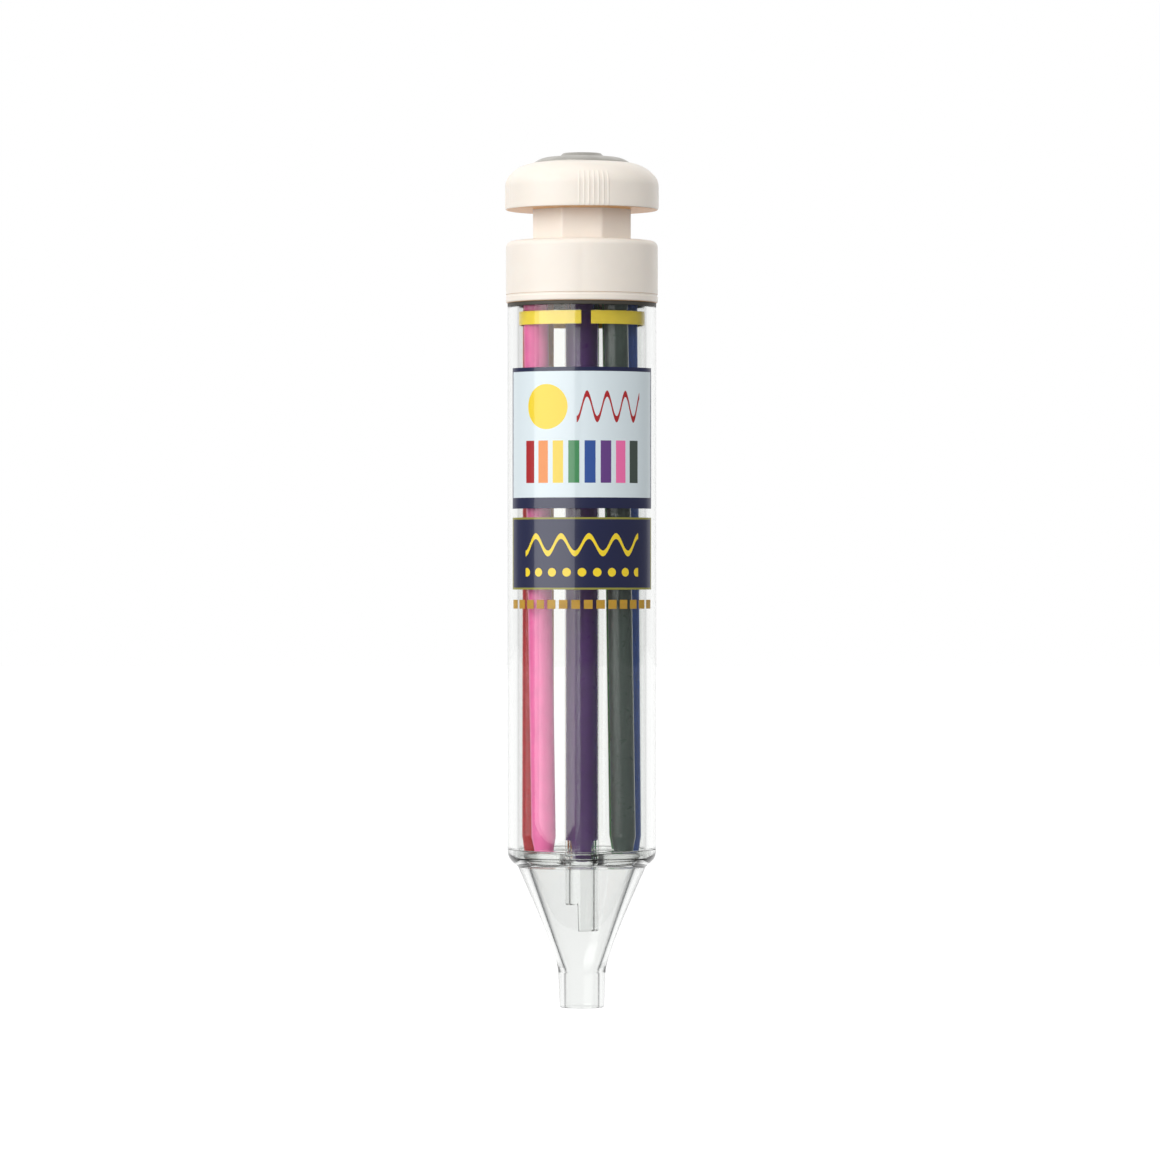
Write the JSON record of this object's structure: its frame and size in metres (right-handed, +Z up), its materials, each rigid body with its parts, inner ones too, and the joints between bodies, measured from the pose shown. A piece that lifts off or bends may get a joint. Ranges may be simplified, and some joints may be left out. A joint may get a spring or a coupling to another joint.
{
  "type": "multicolour push crayon",
  "caption": "Push-and-turn crayon: a clear barrel with a flared clear nozzle holds a ring of coloured crayons under a cream collar and a mushroom push knob with a plain grey disc.",
  "frame": {"origin": "the centre of the nozzle's mouth, at the lowest point of the crayon", "axes": "+Z up the crayon's axis from the nozzle to the knob, -Y to the front, +X to the right of the front"},
  "size_m": [0.0242, 0.0242, 0.1349],
  "materials": {
    "clear_plastic": "clear polished moulded plastic",
    "cream_plastic": "cream moulded plastic, satin",
    "yellow_plastic": "yellow moulded plastic band",
    "dark_rubber": "dark grey seam ring, matt",
    "badge_metal": "plain grey metal, satin",
    "spring_steel": "plain steel wire and strip",
    "label_print": "dark and pale print on the barrel",
    "wax_purple": "purple coloured wax",
    "plug_purple": "purple moulded plastic, satin",
    "wax_black": "black coloured wax",
    "plug_black": "black moulded plastic, satin",
    "wax_blue": "blue coloured wax",
    "plug_blue": "blue moulded plastic, satin",
    "wax_green": "green coloured wax",
    "plug_green": "green moulded plastic, satin",
    "wax_yellow": "yellow coloured wax",
    "plug_yellow": "yellow moulded plastic, satin",
    "wax_orange": "orange coloured wax",
    "plug_orange": "orange moulded plastic, satin",
    "wax_red": "red coloured wax",
    "plug_red": "red moulded plastic, satin",
    "wax_pink": "pink coloured wax",
    "plug_pink": "pink moulded plastic, satin"
  },
  "bodies": {
    "barrel": {"barrel_tube": "clear_plastic", "nose_cone": "clear_plastic", "seam_ring": "dark_rubber", "yellow_ring": "yellow_plastic", "collar": "cream_plastic", "index_spring": "spring_steel"},
    "carousel": {"selector_sleeve": "cream_plastic", "spindle": "clear_plastic", "rest_disc": "clear_plastic", "crayon_black": "wax_black", "crayon_blue": "wax_blue", "crayon_green": "wax_green", "crayon_yellow": "wax_yellow", "crayon_orange": "wax_orange", "crayon_red": "wax_red", "crayon_pink": "wax_pink", "plug_black": "plug_black", "plug_blue": "plug_blue", "plug_green": "plug_green", "plug_yellow": "plug_yellow", "plug_orange": "plug_orange", "plug_red": "plug_red", "plug_pink": "plug_pink"},
    "knob": {"knob_cap": "cream_plastic", "knob_badge": "badge_metal", "knob_stem": "cream_plastic", "knob_screw": "spring_steel", "stop_ring": "spring_steel", "return_spring": "spring_steel"},
    "selected_crayon": {"crayon_purple": "wax_purple", "plug_purple": "plug_purple"}
  },
  "joints": [
    {"name": "colour_turn", "type": "hinge", "parent": "barrel", "child": "carousel", "pos_m": [0, 0, 0.1181], "axis": [0, 0, 1], "continuous": true},
    {"name": "knob_press", "type": "slide", "parent": "carousel", "child": "knob", "axis": [0, 0, -1], "range_m": [0, 0.0045], "stiffness_N_per_m": 400, "springref_m": -0.002, "deforming": ["return_spring"]},
    {"name": "crayon_feed", "type": "slide", "parent": "carousel", "child": "selected_crayon", "axis": [0, 0, -1], "range_m": [0, 0.027]}
  ]
}
